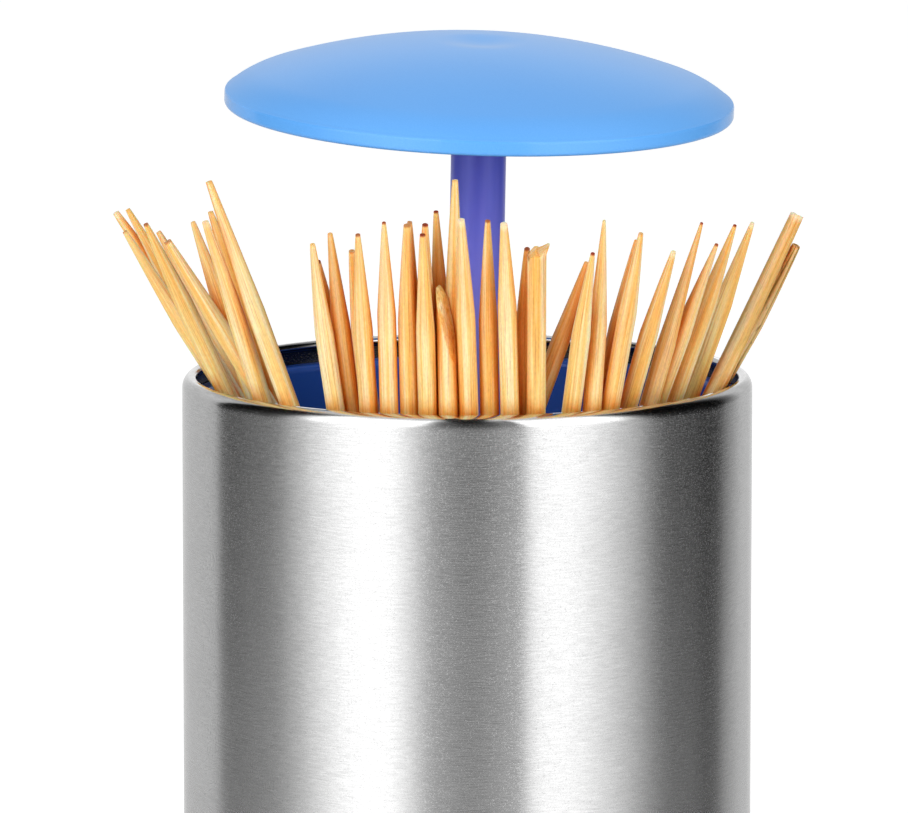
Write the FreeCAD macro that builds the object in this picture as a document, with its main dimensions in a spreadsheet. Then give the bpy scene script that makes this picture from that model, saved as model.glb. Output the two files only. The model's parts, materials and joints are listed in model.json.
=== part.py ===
import FreeCAD, Part
import math
import os

import Sketcher
from FreeCAD import Placement, Rotation, Vector

# Toothpick dispenser with a pull-up lid. A steel tube holds a plastic liner; a tray slides in the
# liner and carries the toothpicks and the lid's stem. Raised, the picks fan out over the rim.
# Origin: centre of the foot pad's underside. +Z up, the fan opens towards -Y. Millimetres.

# Driving dimensions: name, value, what it is.
SIZES = [
    ("shell_diameter", 54.0, "outside of the steel tube"),
    ("shell_length", 75.0, "steel tube, bottom edge to rim"),
    ("shell_wall", 0.5, "sheet thickness"),
    ("rim_bend", 1.3, "outside bend of the turned-in rim"),
    ("lip_land", 0.1, "flat left on the rim inside its bend"),
    ("foot_drop", 1.0, "foot pad below the tube's edge"),
    ("foot_diameter", 46.0, "foot pad"),
    ("foot_recess", 0.8, "depth of the foot pad's seat"),
    ("base_floor", 3.0, "thickness of the base plug"),
    ("plug_gap", 0.1, "base plug to tube, all round"),
    ("liner_gap", 0.15, "liner to tube, all round"),
    ("liner_wall", 1.5, "liner above the stop"),
    ("liner_drop", 2.3, "liner's top edge below the rim"),
    ("liner_round", 0.6, "rounding of the liner's top edge"),
    ("stop_step", 0.65, "shoulder in the liner that stops the tray"),
    ("stop_gap", 0.1, "raised tray to shoulder"),
    ("travel", 27.8, "stroke of the tray"),
    ("floor_gap", 0.2, "lowered tray to base plug"),
    ("guide_gap", 0.25, "tray to liner, all round"),
    ("guide_wall", 1.75, "wall round the tray"),
    ("guide_height", 10.0, "height of the tray's wall"),
    ("tray_floor", 1.6, "tray's floor at its middle"),
    ("tray_slope", 0.12, "rise of the floor per millimetre outwards"),
    ("ring_section", 1.2, "brake ring's cord diameter"),
    ("ring_gap", 0.1, "brake ring to liner"),
    ("ring_play", 0.1, "brake ring to its groove, each side"),
    ("ring_height", 5.0, "brake ring above the tray's underside"),
    ("ball_diameter", 6.8, "ball foot of the stem"),
    ("ball_gap", 0.1, "ball to socket, all round"),
    ("hub_wall", 0.8, "wall of the socket"),
    ("hub_rise", 2.9, "socket's mouth above the ball's centre"),
    ("mouth_gap", 0.35, "stem to socket's mouth, for the lean"),
    ("cap_thickness", 1.2, "plug under the ball"),
    ("cap_gap", 0.05, "plug to socket's bore, all round"),
    ("stem_diameter", 5.2, "stem"),
    ("spigot_diameter", 3.6, "stem's end inside the lid"),
    ("spigot_length", 4.2, "stem's end inside the lid"),
    ("spigot_gap", 0.05, "spigot to the lid's boss, all round"),
    ("lid_raise", 25.5, "raised lid's lower edge above the rim"),
    ("lid_diameter", 47.9, "lid"),
    ("lid_edge", 1.3, "straight band round the lid"),
    ("lid_wall", 1.6, "lid's thickness"),
    ("lid_round", 0.4, "rounding of the lid's edges"),
    ("dome_height", 5.4, "crown above the band"),
    ("crown_radius", 64.0, "curve of the lid's middle"),
    ("crown_reach", 20.5, "radius where the curve tightens"),
    ("dimple_diameter", 7.4, "hollow in the middle of the lid"),
    ("dimple_depth", 0.35, "hollow in the middle of the lid"),
    ("boss_diameter", 8.4, "boss under the lid"),
    ("boss_lift", 0.4, "boss above the lid's lower edge"),
    ("lean_front", 3.3, "degrees the raised stem leans to the front"),
    ("lean_side", 1.0, "degrees it leans to the right"),
    ("lid_askew", 0.9, "degrees the lid sits askew on the stem's end, to the right"),
    ("pick_length", 65.0, "toothpick"),
    ("pick_diameter", 1.8, "toothpick"),
    ("pick_tip", 0.72, "diameter of a pick's blunted point"),
    ("pick_taper", 10.0, "length of a pick's point"),
    ("pick_gap", 0.1, "least gap between picks"),
    ("rest_gap", 0.1, "picks to the rim that they lean on"),
    ("foot_gap", 0.3, "picks' feet to the tray"),
    ("steepest_lean", 32.0, "degrees, the most that a pick leans"),
    ("slant_length", 6.5, "length of the slanting face of a broken pick"),
    ("fold_share", 0.4, "share of its lean that a pick keeps when lowered"),
]

# Radii and levels that follow from the sizes. Levels are heights above the foot pad's underside,
# but those of the stem and lid start at the ball's centre, along the stem.
LAYOUT = [
    ("shell_radius", "sizes.shell_diameter / 2"),
    ("shell_bore", "layout.shell_radius - sizes.shell_wall"),
    ("lip_radius", "layout.shell_radius - sizes.rim_bend - sizes.lip_land"),
    ("rim_inner_bend", "sizes.rim_bend - sizes.shell_wall"),
    ("rim_level", "sizes.foot_drop + sizes.shell_length"),
    ("lip_under", "layout.rim_level - sizes.shell_wall"),
    ("plug_radius", "layout.shell_bore - sizes.plug_gap"),
    ("foot_radius", "sizes.foot_diameter / 2"),
    ("foot_top", "sizes.foot_drop + sizes.foot_recess"),
    ("base_top", "sizes.foot_drop + sizes.base_floor"),
    ("liner_radius", "layout.shell_bore - sizes.liner_gap"),
    ("liner_bore", "layout.liner_radius - sizes.liner_wall"),
    ("guide_bore", "layout.liner_bore + sizes.stop_step"),
    ("liner_top", "layout.rim_level - sizes.liner_drop"),
    ("tray_under", "layout.base_top + sizes.floor_gap + sizes.travel"),
    ("guide_top", "layout.tray_under + sizes.guide_height"),
    ("stop_level", "layout.guide_top + sizes.stop_gap"),
    ("guide_radius", "layout.guide_bore - sizes.guide_gap"),
    ("guide_inner", "layout.guide_radius - sizes.guide_wall"),
    ("tray_centre", "layout.tray_under + sizes.tray_floor"),
    ("tray_edge", "layout.tray_centre + sizes.tray_slope * layout.guide_inner"),
    ("ball_radius", "sizes.ball_diameter / 2"),
    ("socket_radius", "layout.ball_radius + sizes.ball_gap"),
    ("hub_radius", "layout.socket_radius + sizes.hub_wall"),
    ("tray_at_hub", "layout.tray_centre + sizes.tray_slope * layout.hub_radius"),
    ("cap_top", "layout.tray_under + sizes.cap_thickness"),
    ("cap_radius", "layout.socket_radius - sizes.cap_gap"),
    ("ball_level", "layout.cap_top + layout.socket_radius"),
    ("hub_top", "layout.ball_level + sizes.hub_rise"),
    ("stem_radius", "sizes.stem_diameter / 2"),
    ("mouth_radius", "layout.stem_radius + sizes.mouth_gap"),
    ("ring_radius", "layout.guide_bore - sizes.ring_gap - sizes.ring_section / 2"),
    ("ring_level", "layout.tray_under + sizes.ring_height"),
    ("groove_radius", "layout.ring_radius - sizes.ring_section / 2 - sizes.ring_play"),
    ("groove_low", "layout.ring_level - sizes.ring_section / 2 - sizes.ring_play"),
    ("groove_high", "layout.ring_level + sizes.ring_section / 2 + sizes.ring_play"),
    ("lid_reach", "layout.rim_level + sizes.lid_raise - layout.ball_level"),
    ("lid_radius", "sizes.lid_diameter / 2"),
    ("band_top", "layout.lid_reach + sizes.lid_edge"),
    ("crown_top", "layout.band_top + sizes.dome_height"),
    ("lid_hollow", "layout.lid_radius - sizes.lid_wall"),
    ("hollow_top", "layout.crown_top - sizes.lid_wall"),
    ("boss_radius", "sizes.boss_diameter / 2"),
    ("stem_end", "layout.lid_reach + sizes.boss_lift"),
    ("spigot_radius", "sizes.spigot_diameter / 2"),
    ("spigot_top", "layout.stem_end + sizes.spigot_length"),
    ("spigot_bore", "layout.spigot_radius + sizes.spigot_gap"),
    ("pick_radius", "sizes.pick_diameter / 2"),
    ("point_radius", "sizes.pick_tip / 2"),
    ("dimple_curve", "sizes.dimple_diameter ^ 2 / (8 * sizes.dimple_depth)"),
    ("dimple_level", "layout.crown_top - sizes.dimple_depth + layout.dimple_curve"),
    ("boss_top", "layout.hollow_top + sizes.lid_wall / 4"),
    ("lean_radius", "layout.lip_radius - sizes.rest_gap - layout.pick_radius"
                    " / cos(sizes.steepest_lean * 1deg)"),
]

# The picks as they lie in the raised fan, from left to right. Each leans on the rim, or on the
# picks in front of it when it is set back.
# rim: degrees round the rim from the front; back: millimetres behind the rim;
# foot: its distance from the middle of the tray and degrees from the front;
# extra: how much longer than standard the pick is; end: how its upper end is shaped.
PICKS = [
    # rim, back, foot radius, foot angle, extra, end
    (-87, 0.5, 7.0, 25, 0.5, "point"),
    (-104, 0.0, 10.5, 165, 1.5, "point"),
    (-94, 1.0, 5.5, 5, 1.0, "point"),
    (-70, 0.0, 8.0, -140, 0.5, "point"),
    (-85, 3.0, 6.5, 160, -0.5, "point"),
    (-56, 1.0, 6.0, 50, 1.0, "point"),
    (-64, 2.0, 8.0, -120, -1.5, "point"),
    (-52, 0.0, 7.5, -75, -1.5, "point"),
    (-60, 3.0, 6.0, -95, -1.5, "point"),
    (-43, 0.0, 14.5, -10, 0.0, "point"),
    (-30, 0.0, 7.5, -65, -2.0, "point"),
    (-33, 4.0, 8.0, -155, 0.0, "point"),
    (-29, 2.0, 6.5, -85, -0.5, "point"),
    (-22, 0.0, 8.5, -55, -1.5, "point"),
    (-24, 2.0, 5.0, -65, -2.5, "point"),
    (-17, 0.0, 10.0, -40, -1.5, "point"),
    (-13, 0.5, 8.0, -35, -1.0, "point"),
    (-14, 3.0, 6.5, -50, -1.0, "point"),
    (-9, 0.0, 7.5, -20, -1.5, "point"),
    (-9, 2.0, 5.5, -30, -0.5, "point"),
    (-6, 3.5, 6.0, 0, -1.0, "point"),
    (-4, 0.0, 11.5, -5, -9.5, "slanted"),
    (-3, 2.0, 9.0, -5, 1.5, "point"),
    (0, 0.0, 9.0, 10, -1.0, "point"),
    (5, 1.0, 8.0, 20, -1.0, "point"),
    (9, 0.0, 7.0, 45, 1.0, "point"),
    (13, 2.0, 5.0, 65, -1.5, "point"),
    (15, 0.0, 7.0, 65, -1.0, "blunt"),
    (23, 0.0, 5.0, 85, 0.0, "point"),
    (18, 3.5, 7.5, -115, 1.0, "point"),
    (28, 0.0, 11.0, 55, -2.0, "point"),
    (33, 0.0, 7.0, 90, 1.0, "point"),
    (34, 2.0, 5.5, 110, 0.0, "point"),
    (40, 1.0, 7.0, 135, 1.0, "point"),
    (47, 1.0, 7.5, 115, 1.5, "point"),
    (51, 1.5, 8.5, 145, 1.0, "point"),
    (58, 1.5, 9.5, 135, 1.0, "point"),
    (73, 2.0, 15.5, 145, 0.0, "point"),
    (75, 0.0, 10.0, 25, -2.0, "blunt"),
    (88, 0.0, 12.5, 165, -2.5, "point"),
]


def make_sheet():
    sheet = doc.addObject("Spreadsheet::Sheet", "sizes")
    for row, (name, number, note) in enumerate(SIZES, start=1):
        sheet.set(f"A{row}", name)
        sheet.set(f"B{row}", str(number))
        sheet.setAlias(f"B{row}", name)
        sheet.set(f"C{row}", note)
    doc.recompute()
    return sheet


def make_layout():
    layout = doc.addObject("App::VarSet", "layout")
    for name, rule in LAYOUT:
        layout.addProperty("App::PropertyFloat", name, "Layout")
        layout.setExpression(name, rule.replace("layout.", ""))
        doc.recompute()
    return layout


def read_numbers():
    numbers = {name: float(getattr(sheet, name)) for name, _, _ in SIZES}
    numbers.update({name: float(getattr(layout, name)) for name, _ in LAYOUT})
    return numbers


def value(name):
    return numbers[name]


def link(name):
    owner = layout if name in layout.PropertiesList else sheet
    return f"{owner.Name}.{name}"


def origin_item(body, role):
    return next(item for item in body.Origin.OriginFeatures if item.Role == role)


def new_body(label):
    body = doc.addObject("PartDesign::Body", label)
    body.Label = label
    return body


def new_sketch(body, name):
    # Sketch on the body's XZ plane: its x is a radius and its y a level.
    sketch = body.newObject("Sketcher::SketchObject", f"{body.Label}_{name}")
    sketch.AttachmentSupport = (origin_item(body, "XZ_Plane"), "")
    sketch.MapMode = "FlatFace"
    return sketch


def pin(sketch, item, end, radius, level):
    # Ties one end of a sketch item to a named radius and a named level.
    if radius == "axis":
        sketch.addConstraint(Sketcher.Constraint("PointOnObject", item, end, -2))
    else:
        bind(sketch, Sketcher.Constraint("DistanceX", -1, 1, item, end, value(radius)), radius)
    if level == "ground":
        sketch.addConstraint(Sketcher.Constraint("PointOnObject", item, end, -1))
    else:
        bind(sketch, Sketcher.Constraint("DistanceY", -1, 1, item, end, value(level)), level)


def bind(sketch, constraint, name):
    index = sketch.addConstraint(constraint)
    sketch.setExpression(f"Constraints[{index}]", link(name))


def spot(radius, level):
    across = 0 if radius == "axis" else value(radius)
    height = 0 if level == "ground" else value(level)
    return Vector(across, height, 0)


def draw_outline(sketch, corners):
    # A closed outline of straight sides through (radius, level) corners.
    count = len(corners)
    for side in range(count):
        start, end = corners[side], corners[(side + 1) % count]
        sketch.addGeometry(Part.LineSegment(spot(*start), spot(*end)))
    for side in range(count):
        sketch.addConstraint(Sketcher.Constraint("Coincident", side, 2, (side + 1) % count, 1))
    for side, corner in enumerate(corners):
        pin(sketch, side, 1, *corner)


def turn(body, sketch, kind="Revolution"):
    feature = body.newObject(f"PartDesign::{kind}", f"{sketch.Name}_turned")
    feature.Profile = sketch
    feature.ReferenceAxis = (sketch, ["V_Axis"])
    feature.Angle = 360
    doc.recompute()
    return feature


def turned_body(label, corners):
    body = new_body(label)
    sketch = new_sketch(body, "outline")
    draw_outline(sketch, corners)
    turn(body, sketch)
    return body


def ball(body, kind, radius, level):
    feature = body.newObject(f"PartDesign::{kind}Sphere", f"{body.Label}_{kind.lower()}_ball")
    feature.AttachmentSupport = (origin_item(body, "XY_Plane"), "")
    feature.MapMode = "FlatFace"
    feature.Radius = value(radius)
    feature.setExpression("Radius", link(radius))
    if level != "ground":
        feature.setExpression(".AttachmentOffset.Base.z", link(level))
    doc.recompute()


def round_rims(body, name, radius, rims):
    # Rounds the circular edges that have the given (radius, level).
    rounded = body.Tip
    names = []
    for number, edge in enumerate(rounded.Shape.Edges, start=1):
        if edge.Degenerated or not isinstance(edge.Curve, Part.Circle):
            continue
        for across, level in rims:
            near = Vector(edge.Curve.Radius, edge.Curve.Center.z, 0)
            if near.distanceToPoint(spot(across, level)) < 0.001:
                names.append(f"Edge{number}")
    fillet = body.newObject("PartDesign::Fillet", f"{body.Label}_{name}")
    fillet.Base = (rounded, names)
    fillet.Radius = value(radius)
    fillet.setExpression("Radius", link(radius))
    doc.recompute()


def make_shell():
    body = turned_body("outer_shell", [
        ("shell_bore", "foot_drop"), ("shell_radius", "foot_drop"),
        ("shell_radius", "rim_level"), ("lip_radius", "rim_level"),
        ("lip_radius", "lip_under"), ("shell_bore", "lip_under")])
    round_rims(body, "rim_bend", "rim_bend", [("shell_radius", "rim_level")])
    round_rims(body, "rim_inside", "rim_inner_bend", [("shell_bore", "lip_under")])
    return body


def make_liner():
    body = turned_body("inner_liner", [
        ("guide_bore", "base_top"), ("liner_radius", "base_top"),
        ("liner_radius", "liner_top"), ("liner_bore", "liner_top"),
        ("liner_bore", "stop_level"), ("guide_bore", "stop_level")])
    round_rims(body, "top_edge", "liner_round", [("liner_bore", "liner_top")])
    return body


def make_base():
    return turned_body("base_plug", [
        ("axis", "foot_top"), ("foot_radius", "foot_top"), ("foot_radius", "foot_drop"),
        ("plug_radius", "foot_drop"), ("plug_radius", "base_top"), ("axis", "base_top")])


def make_foot():
    return turned_body("foot_pad", [
        ("axis", "ground"), ("foot_radius", "ground"),
        ("foot_radius", "foot_top"), ("axis", "foot_top")])


def make_carrier():
    body = turned_body("pick_carrier", [
        ("socket_radius", "tray_under"), ("guide_radius", "tray_under"),
        ("guide_radius", "groove_low"), ("groove_radius", "groove_low"),
        ("groove_radius", "groove_high"), ("guide_radius", "groove_high"),
        ("guide_radius", "guide_top"), ("guide_inner", "guide_top"),
        ("guide_inner", "tray_edge"), ("hub_radius", "tray_at_hub"),
        ("hub_radius", "hub_top"), ("mouth_radius", "hub_top"),
        ("mouth_radius", "ball_level"), ("socket_radius", "ball_level")])
    ball(body, "Subtractive", "socket_radius", "ball_level")
    return body


def make_hub_cap():
    return turned_body("hub_cap", [
        ("axis", "tray_under"), ("cap_radius", "tray_under"),
        ("cap_radius", "cap_top"), ("axis", "cap_top")])


def make_brake_ring():
    ring = doc.addObject("Part::Torus", "brake_ring")
    ring.Label = "brake_ring"
    ring.setExpression("Radius1", link("ring_radius"))
    ring.setExpression("Radius2", f"{link('ring_section')} / 2")
    ring.setExpression("Placement.Base.z", link("ring_level"))
    return ring


def make_stem():
    body = turned_body("stem", [
        ("axis", "ground"), ("stem_radius", "ground"), ("stem_radius", "stem_end"),
        ("spigot_radius", "stem_end"), ("spigot_radius", "spigot_top"), ("axis", "spigot_top")])
    ball(body, "Additive", "ball_radius", "ground")
    return body


def arc(across, level, radius, start, end):
    circle = Part.Circle(Vector(across, level, 0), Vector(0, 0, 1), radius)
    return Part.ArcOfCircle(circle, start, end)


def draw_dome(sketch):
    # Half section of the lid: a flat crown, a rounder shoulder tangent to it, a straight band,
    # and a single curve inside.
    crown, crown_top, reach = value("crown_radius"), value("crown_top"), value("crown_reach")
    edge, band_top, lower = value("lid_radius"), value("band_top"), value("lid_reach")
    hollow, hollow_top = value("lid_hollow"), value("hollow_top")
    joint_angle = math.acos(reach / crown)
    outward = Vector(math.cos(joint_angle), math.sin(joint_angle), 0)
    joint = Vector(0, crown_top - crown, 0) + outward * crown
    across = joint - Vector(edge, band_top, 0)
    shoulder = across.Length ** 2 / (2 * outward.dot(across))
    middle = joint - outward * shoulder
    edge_angle = math.atan2(band_top - middle.y, edge - middle.x)
    rise = hollow_top - lower
    inner = (hollow ** 2 + rise ** 2) / (2 * rise)
    inner_angle = math.atan2(lower - hollow_top + inner, hollow)
    sketch.addGeometry(arc(0, crown_top - crown, crown, joint_angle, math.pi / 2))
    sketch.addGeometry(arc(middle.x, middle.y, shoulder, edge_angle, joint_angle))
    sketch.addGeometry(Part.LineSegment(spot("lid_radius", "band_top"), spot("lid_radius", "lid_reach")))
    sketch.addGeometry(Part.LineSegment(spot("lid_radius", "lid_reach"), spot("lid_hollow", "lid_reach")))
    sketch.addGeometry(arc(0, hollow_top - inner, inner, inner_angle, math.pi / 2))
    sketch.addGeometry(Part.LineSegment(spot("axis", "hollow_top"), spot("axis", "crown_top")))
    meetings = ((0, 2, 5, 2), (5, 1, 4, 2), (4, 1, 3, 2), (3, 1, 2, 2), (2, 1, 1, 1))
    for item, end, other, other_end in meetings:
        sketch.addConstraint(Sketcher.Constraint("Coincident", item, end, other, other_end))
    sketch.addConstraint(Sketcher.Constraint("Tangent", 1, 2, 0, 1))
    pin(sketch, 5, 2, "axis", "crown_top")
    pin(sketch, 5, 1, "axis", "hollow_top")
    pin(sketch, 2, 1, "lid_radius", "band_top")
    pin(sketch, 3, 1, "lid_radius", "lid_reach")
    pin(sketch, 3, 2, "lid_hollow", "lid_reach")
    sketch.addConstraint(Sketcher.Constraint("PointOnObject", 0, 3, -2))
    sketch.addConstraint(Sketcher.Constraint("PointOnObject", 4, 3, -2))
    bind(sketch, Sketcher.Constraint("Radius", 0, crown), "crown_radius")
    bind(sketch, Sketcher.Constraint("DistanceX", -1, 1, 0, 1, reach), "crown_reach")


def make_lid():
    body = new_body("lid")
    dome = new_sketch(body, "dome")
    draw_dome(dome)
    turn(body, dome)
    boss = new_sketch(body, "boss")
    draw_outline(boss, [
        ("spigot_bore", "stem_end"), ("boss_radius", "stem_end"),
        ("boss_radius", "boss_top"), ("spigot_bore", "boss_top")])
    turn(body, boss)
    ball(body, "Subtractive", "dimple_curve", "dimple_level")
    round_rims(body, "edges", "lid_round", [("lid_radius", "lid_reach"), ("lid_radius", "band_top")])
    return body


def leaning(direction):
    return Rotation(Vector(0, 0, 1), direction)


def raised_plunger():
    # The stem turns in its ball socket, so the raised stem and lid lean a little.
    aside = math.tan(math.radians(value("lean_side")))
    ahead = math.tan(math.radians(value("lean_front")))
    return Placement(Vector(0, 0, value("ball_level")), leaning(Vector(aside, -ahead, 1)))


def askew():
    # The lid tips a little on the spigot, and rides up on the stem's shoulder by as much.
    tip = Rotation(Vector(0, 1, 0), value("lid_askew"))
    middle = Vector(0, 0, value("stem_end") + value("spigot_length") / 2)
    rise = Vector(0, 0, value("stem_radius") * math.sin(math.radians(value("lid_askew"))))
    return Placement(middle + rise - tip.multVec(middle), tip)


def around(radius, degrees):
    # A point seen from above, at an angle from the front towards the right.
    angle = math.radians(degrees)
    return Vector(radius * math.sin(angle), -radius * math.cos(angle), 0)


def lay_out_picks():
    fan = []
    for rim, back, foot_radius, foot_angle, extra, end in PICKS:
        fan.append({
            "foot": around(foot_radius, foot_angle),
            "rim": around(value("lean_radius") - back, rim),
            "length": value("pick_length") + extra,
            "end": end})
    return fan


def foot_level(pick):
    rise = value("tray_slope") * pick["foot"].Length
    return value("tray_centre") + rise + value("foot_gap")


def direction(pick):
    run = pick["rim"] - pick["foot"]
    aim = Vector(run.x, run.y, value("rim_level") - foot_level(pick))
    return aim.normalize()


def thickness(pick, along):
    # Half a pick's thickness at a distance from its foot.
    slope = (value("pick_radius") - value("point_radius")) / value("pick_taper")
    from_foot = value("point_radius") + along * slope
    from_top = value("point_radius") + (pick["length"] - along) * slope
    if pick["end"] != "point":
        from_top = value("pick_radius")
    return min(value("pick_radius"), from_foot, from_top)


def posture(pick, fold):
    # The pick as a straight line when the tray has gone down by a share of its stroke. Heights
    # are above the tray's middle, so the line starts a little below a foot that stands further out.
    aim = direction(pick)
    lean = math.acos(aim.z)
    kept = lean * (1 - (1 - value("fold_share")) * fold)
    slope = Vector(aim.x, aim.y, 0).normalize() * math.tan(kept)
    rise = foot_level(pick) - value("tray_centre")
    return {
        "start": pick["foot"] - slope * rise, "slope": slope,
        "aim": Vector(slope.x, slope.y, 1).normalize(),
        "low": rise, "top": rise + pick["length"] * math.cos(kept),
        "spread": math.tan(kept) / math.tan(lean),
        "half": lambda height: thickness(pick, (height - rise) / math.cos(kept))}


def stem_posture():
    # The stem in the same form. It stands on the hub's middle.
    aim = raised_plunger().Rotation.multVec(Vector(0, 0, 1))
    hub_height = value("hub_top") - value("tray_centre")
    return {
        "start": Vector(0, 0, 0), "slope": Vector(aim.x, aim.y, 0) * (1 / aim.z), "aim": aim,
        "low": 0, "top": value("pick_length"), "spread": 0,
        "half": lambda height: value("hub_radius" if height < hub_height else "stem_radius")}


def crosswise(vector, along):
    return vector - along * vector.dot(along)


def lack_of_room(one, other):
    # Where two lines most lack room: (missing millimetres, which way to push, height).
    along = (one["aim"] + other["aim"]).normalize()
    start = crosswise(one["start"] - other["start"], along)
    drift = crosswise(one["slope"] - other["slope"], along)
    low, top = max(one["low"], other["low"]), min(one["top"], other["top"])
    closest = min(max(-start.dot(drift) / max(drift.dot(drift), 1e-9), low), top)
    worst = (0, None, 0)
    if (start + drift * closest).Length > value("hub_radius") + value("pick_diameter"):
        return worst
    tapers = [value("pick_taper") * eighth / 8 for eighth in range(9)]
    for height in [low + taper for taper in tapers] + [closest] + [top - taper for taper in tapers]:
        across = start + drift * height
        missing = one["half"](height) + other["half"](height) + value("pick_gap") - across.Length
        if missing > worst[0]:
            worst = (missing, Vector(across.x, across.y, 0).normalize(), height)
    return worst


def shift(pick, move, height, spread):
    # Moves the pick's line sideways at one height, by turning and sliding it as little as it can.
    share = spread * height / (value("rim_level") - value("tray_centre"))
    effort = (1 - share) ** 2 + share ** 2
    pick["foot"] += move * ((1 - share) / effort)
    pick["rim"] += move * (share / effort)


def keep_in_tray(pick):
    # The rim holds the pick in, and the hub keeps it off the middle, from its foot to the hub's top.
    if pick["rim"].Length > value("lean_radius"):
        pick["rim"] *= value("lean_radius") / pick["rim"].Length
    nearest = value("hub_radius") + value("point_radius") + value("pick_gap")
    if pick["foot"].Length < nearest:
        pick["foot"] *= nearest / pick["foot"].Length
    rise = value("hub_top") - foot_level(pick)
    upright = direction(pick).z
    share = rise / (value("rim_level") - foot_level(pick))
    beside = pick["foot"] + (pick["rim"] - pick["foot"]) * share
    nearest = value("hub_radius") + thickness(pick, rise / upright) / upright + value("pick_gap")
    if beside.Length < nearest:
        pick["foot"] += beside * (nearest / beside.Length - 1)


def push_apart(fan, fold):
    # One round of picks pushing each other and the stem away. Returns the most that was missing.
    postures = [posture(pick, fold) for pick in fan]
    most = 0
    for index, pick in enumerate(fan):
        for other in range(index):
            missing, push, height = lack_of_room(postures[index], postures[other])
            if missing > 0:
                shift(pick, push * (missing * 0.35), height, postures[index]["spread"])
                shift(fan[other], push * (missing * -0.35), height, postures[other]["spread"])
                most = max(most, missing)
        missing, push, height = lack_of_room(postures[index], stem_posture())
        if missing > 0 and fold == 0:
            shift(pick, push * (missing * 0.7), height, 1)
            most = max(most, missing)
        keep_in_tray(pick)
    return most


def settle(fan):
    # The picks push each other aside until none shares room, raised, part way down or lowered.
    for _ in range(150):
        most = max([push_apart(fan, fold) for fold in (0, 0.25, 0.5, 0.75, 1)])
        if most < value("pick_gap") / 3:
            break
    return fan


def primitive(kind, name, sizes, level=None):
    item = doc.addObject(f"Part::{kind}", name)
    for size, rule in sizes.items():
        item.setExpression(size, rule)
    if level:
        item.setExpression("Placement.Base.z", level)
    return item


def point_cone(name, low, high, level):
    return primitive("Cone", name, {
        "Radius1": link(low), "Radius2": link(high), "Height": link("pick_taper")}, level)


def slant_cutter(name, length):
    # A block whose underside is the slanting face of a pick that broke.
    across, slant = value("pick_diameter"), value("slant_length")
    block = primitive("Box", name, {
        "Length": link("pick_length"), "Width": f"2 * {link('pick_diameter')}",
        "Height": link("slant_length")})
    tilt = Rotation(Vector(0, 1, 0), math.degrees(math.atan2(slant, across)))
    block.Placement = Placement(Vector(-across / 2, -across, length), tilt)
    return block


def make_pick(label, pick):
    extra = pick["length"] - value("pick_length")
    tapers = 2 if pick["end"] == "point" else 1
    shaft_length = f"{link('pick_length')} + ({extra}) - {tapers} * {link('pick_taper')}"
    shaft = primitive("Cylinder", f"{label}_shaft", {
        "Radius": link("pick_radius"), "Height": shaft_length}, link("pick_taper"))
    pieces = [point_cone(f"{label}_foot", "point_radius", "pick_radius", None), shaft]
    if pick["end"] == "point":
        top = f"{link('pick_length')} + ({extra}) - {link('pick_taper')}"
        pieces.append(point_cone(f"{label}_top", "pick_radius", "point_radius", top))
    fused = doc.addObject("Part::MultiFuse", f"{label}_whole")
    fused.Shapes = pieces
    if pick["end"] == "slanted":
        whole = fused
        fused = doc.addObject("Part::Cut", f"{label}_cut")
        fused.Base = whole
        fused.Tool = slant_cutter(f"{label}_slant", pick["length"])
    fused.Label = label
    fused.Placement = pick_placement(pick)
    return fused


def pick_placement(pick):
    foot = pick["foot"] + Vector(0, 0, foot_level(pick))
    return Placement(foot, leaning(direction(pick)))


def build():
    parts = [
        make_shell(), make_liner(), make_base(), make_foot(),
        make_carrier(), make_hub_cap(), make_brake_ring()]
    stem, lid = make_stem(), make_lid()
    stem.Placement = raised_plunger()
    lid.Placement = raised_plunger().multiply(askew())
    parts += [stem, lid]
    for number, pick in enumerate(fan, start=1):
        parts.append(make_pick(f"toothpick_{number:02d}", pick))
    doc.recompute()
    return parts


def check(parts):
    for item in doc.Objects:
        if "Invalid" in item.State or "Error" in item.State:
            raise RuntimeError(f"{item.Label} failed to recompute: {item.State}")
    for part in parts:
        if part.Shape.isNull() or not part.Shape.isValid() or len(part.Shape.Solids) != 1:
            raise RuntimeError(f"{part.Label} is not one sound solid")


def export(parts):
    os.makedirs("parts", exist_ok=True)
    for part in parts:
        part.Shape.exportStep(f"parts/{part.Label}.step")


doc = FreeCAD.newDocument("toothpick_dispenser")
sheet = make_sheet()
layout = make_layout()
numbers = read_numbers()
fan = settle(lay_out_picks())
parts = build()
check(parts)
export(parts)
print(f"{len(parts)} sub-parts written")
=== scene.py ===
import json
import math
import random

import bmesh
import bpy
from mathutils import Matrix, Vector

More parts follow.
